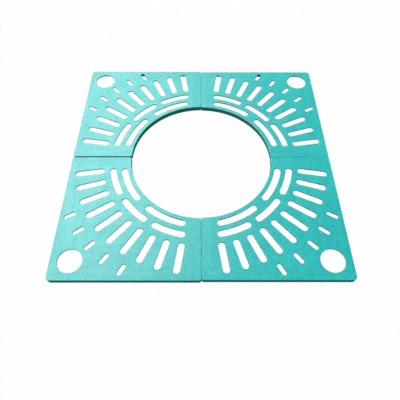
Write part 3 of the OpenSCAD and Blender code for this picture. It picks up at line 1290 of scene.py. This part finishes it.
@dataclass(frozen=True)
class RubberFinish:
    """Black moulded rubber with ground dust in it."""

    base: Colour = (0.018, 0.018, 0.019, 1)
    bloom: Tint = Tint((0.055, 0.055, 0.058, 1), 0.6)
    dust: Colour = (0.27, 0.25, 0.21, 1)
    clean_roughness: float = 0.72
    dust_roughness: float = 0.2

    def build(self, effects: Effects) -> Material:
        """Builds the material.

        Args:
            effects: The shared shader node groups.

        Returns:
            The material.
        """
        coat = Coat("pad_rubber")
        nodes = coat.nodes
        pale = coat.effect(effects.clouds, Scale=90, Seed=3.0, Low=0.42, High=0.66)["Mask"]
        dust = coat.effect(effects.dust, Scale=140, Seed=1.2, Amount=0.8, Reach=0.006)["Mask"]
        grain = coat.effect(effects.grain, Scale=1400, Pits=0.5, Seed=2.0)["Height"]
        colour = coat.tinted(self.base, pale, self.bloom)
        coat.shade(
            Base_Color=nodes.mixed(dust, colour, self.dust),
            Roughness=nodes.math("MULTIPLY_ADD", dust, self.dust_roughness, self.clean_roughness),
            Specular_IOR_Level=0.35)
        coat.bump(grain, strength=0.35, distance=0.0004)
        return coat.material


class LampRole(Enum):
    """What a lamp is for: to light the matt colour, or to lie as a sheen on the gloss."""

    LIGHT = "light"
    GLOSS = "gloss"


@dataclass(frozen=True)
class Lamp:
    """A soft light that is level along its long side and aims at the grate's centre."""

    name: str
    place: Place
    sides: Point
    radiance: float
    role: LampRole

    def build(self) -> None:
        """Makes the light and points it at the grate's centre."""
        data = bpy.data.lights.new(self.name, "AREA")
        data.shape = "RECTANGLE"
        data.size, data.size_y = self.sides
        data.energy = math.pi * data.size * data.size_y * self.radiance
        data.cycles.use_multiple_importance_sampling = self.role is LampRole.LIGHT
        made = linked(self.name, data)
        made.location = self.place
        made.rotation_euler = (-Vector(self.place)).to_track_quat("-Z", "Y").to_euler()
        made.visible_camera = False
        made.visible_diffuse = self.role is LampRole.LIGHT
        made.visible_glossy = self.role is LampRole.GLOSS


@dataclass(frozen=True)
class Viewpoint:
    """Where the photograph was taken from, worked out from the grate's corners and seams."""

    place: Place = (-0.0098, -1.0755, 1.3686)
    pitch: float = 1.01382
    yaw: float = 0.00473
    roll: float = 0.00477
    focal_px: float = 364.36
    frame_px: float = 400
    sensor: float = 36
    clip_end: float = 100

    def build(self) -> None:
        """Makes the scene's camera."""
        data = bpy.data.cameras.new("camera")
        data.sensor_width = self.sensor
        data.lens = self.focal_px / self.frame_px * self.sensor
        data.clip_end = self.clip_end
        made = linked("camera", data)
        made.matrix_world = (Matrix.Translation(self.place)
                             @ Matrix.Rotation(-self.yaw, 4, "Z")
                             @ Matrix.Rotation(math.pi / 2 - self.pitch, 4, "X")
                             @ Matrix.Rotation(self.roll, 4, "Z"))
        bpy.context.scene.camera = made


@dataclass(frozen=True)
class Studio:
    """The pale floor, the soft lights and the white surroundings."""

    floor_side: float = 14
    floor_colour: Colour = (0.5, 0.5, 0.5, 1)
    glow_share: float = 0.985
    # Reaches within which the floor's glow is dimmed: painted shade in seams and near the grate's
    # foot.
    crevice: float = 0.004
    foot: float = 0.06
    open_edges: Point = (0.1, 0.6)
    sky: Colour = (0.34, 0.34, 0.34, 1)
    white: Colour = (1, 1, 1, 1)
    lamps: tuple[Lamp, ...] = (
        Lamp("key", (-4.3, 4.7, 7.65), (3.6, 3.6), 15.5, LampRole.LIGHT),
        Lamp("overhead", (1.2, 1.8, 7.2), (5, 5), 0.7, LampRole.LIGHT),
        Lamp("long_window", (-1.52, 0.61, 2.52), (6.0, 2.2), 15.5, LampRole.GLOSS),
    )

    def shown_white(self, nodes: Nodes) -> NodeSocket:
        """Tells the rays that see the surroundings from those that gather light.

        Args:
            nodes: The nodes of the world or of a material.

        Returns:
            One for rays from the camera, a gloss or a clear part, and nought for the others.
        """
        path = nodes.add("ShaderNodeLightPath").outputs
        seen = nodes.math("MAXIMUM", path["Is Camera Ray"], path["Is Glossy Ray"])
        return nodes.math("MAXIMUM", seen, path["Is Transmission Ray"])

    def openness(self, nodes: Nodes, reach: float) -> NodeSocket:
        """How open the floor lies, from nought in a closed seam to one, within a reach; it dims the
        floor's glow as painted shade.
        """
        node = nodes.add("ShaderNodeAmbientOcclusion", {"Distance": reach}, samples=8)
        return nodes.ramp(node.outputs["AO"], *self.open_edges)

    def build_world(self) -> None:
        """White where it is seen, and a plain grey sky where it lights."""
        world = bpy.data.worlds.new("surroundings")
        world.use_nodes = True
        nodes = Nodes(world.node_tree)
        nodes.tree.nodes.clear()
        shown = nodes.mixed(self.shown_white(nodes), self.sky, self.white)
        background = nodes.add("ShaderNodeBackground", {"Color": shown})
        nodes.add("ShaderNodeOutputWorld", {"Surface": background.outputs[0]})
        bpy.context.scene.world = world

    def build_floor(self) -> None:
        """A pale floor that looks white and keeps the grate's shadow; its glow is dimmed in narrow
        seams, and near the grate's foot where the gloss shows it, as painted shade.
        """
        half = self.floor_side / 2
        corners = [(-half, -half, 0), (half, -half, 0), (half, half, 0), (-half, half, 0)]
        floor = mesh_object("floor", corners, [(0, 1, 2, 3)])
        material = bpy.data.materials.new("pale_floor")
        material.use_nodes = True
        nodes = Nodes(material.node_tree)
        nodes.tree.nodes.clear()
        glossy = nodes.add("ShaderNodeLightPath").outputs["Is Glossy Ray"]
        # The glow fades in closed seams for the camera and near the grate's foot for the gloss:
        # painted shade.
        open_near, open_wide = (self.openness(nodes, reach) for reach in (self.crevice, self.foot))
        seen = nodes.math("MULTIPLY", open_near, nodes.math("SUBTRACT", 1.0, glossy))
        strength = nodes.math("MULTIPLY_ADD", open_wide, glossy, seen)
        matt = nodes.add("ShaderNodeBsdfDiffuse", {"Color": self.floor_colour})
        glow = nodes.add("ShaderNodeEmission", {"Strength": strength})
        share = nodes.math("MULTIPLY", self.shown_white(nodes), self.glow_share)
        both = nodes.add("ShaderNodeMixShader", {0: share, 1: matt.outputs[0], 2: glow.outputs[0]})
        nodes.add("ShaderNodeOutputMaterial", {"Surface": both.outputs[0]})
        floor.data.materials.append(material)

    def build(self) -> None:
        """Makes the floor, the lights and the surroundings."""
        self.build_world()
        self.build_floor()
        for lamp in self.lamps:
            lamp.build()
        bpy.context.scene.view_settings.view_transform = "Standard"


def main() -> None:
    """Builds the finishes, the grate, the studio and the camera."""
    effects = Effects()
    finishes = {
        Slot.PANEL: MouldedFinish().build(effects),
        Slot.RODS: SteelFinish().build(effects),
        Slot.PADS: RubberFinish().build(effects),
    }
    low, high = (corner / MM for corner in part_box("rear_right_panel"))
    outline = Outline(width=round(high.x - low.x, 2), opening_r=325)
    pads = PadSizes()
    moulding = Moulding(outline, round(high.z, 2), round(low.z, 2), SlotSizes(),
                        UndersideSizes(), pads)
    Grate(moulding, RestPads(pads)).build(finishes)
    Studio().build()
    Viewpoint().build()


if __name__ == "__main__":
    main()
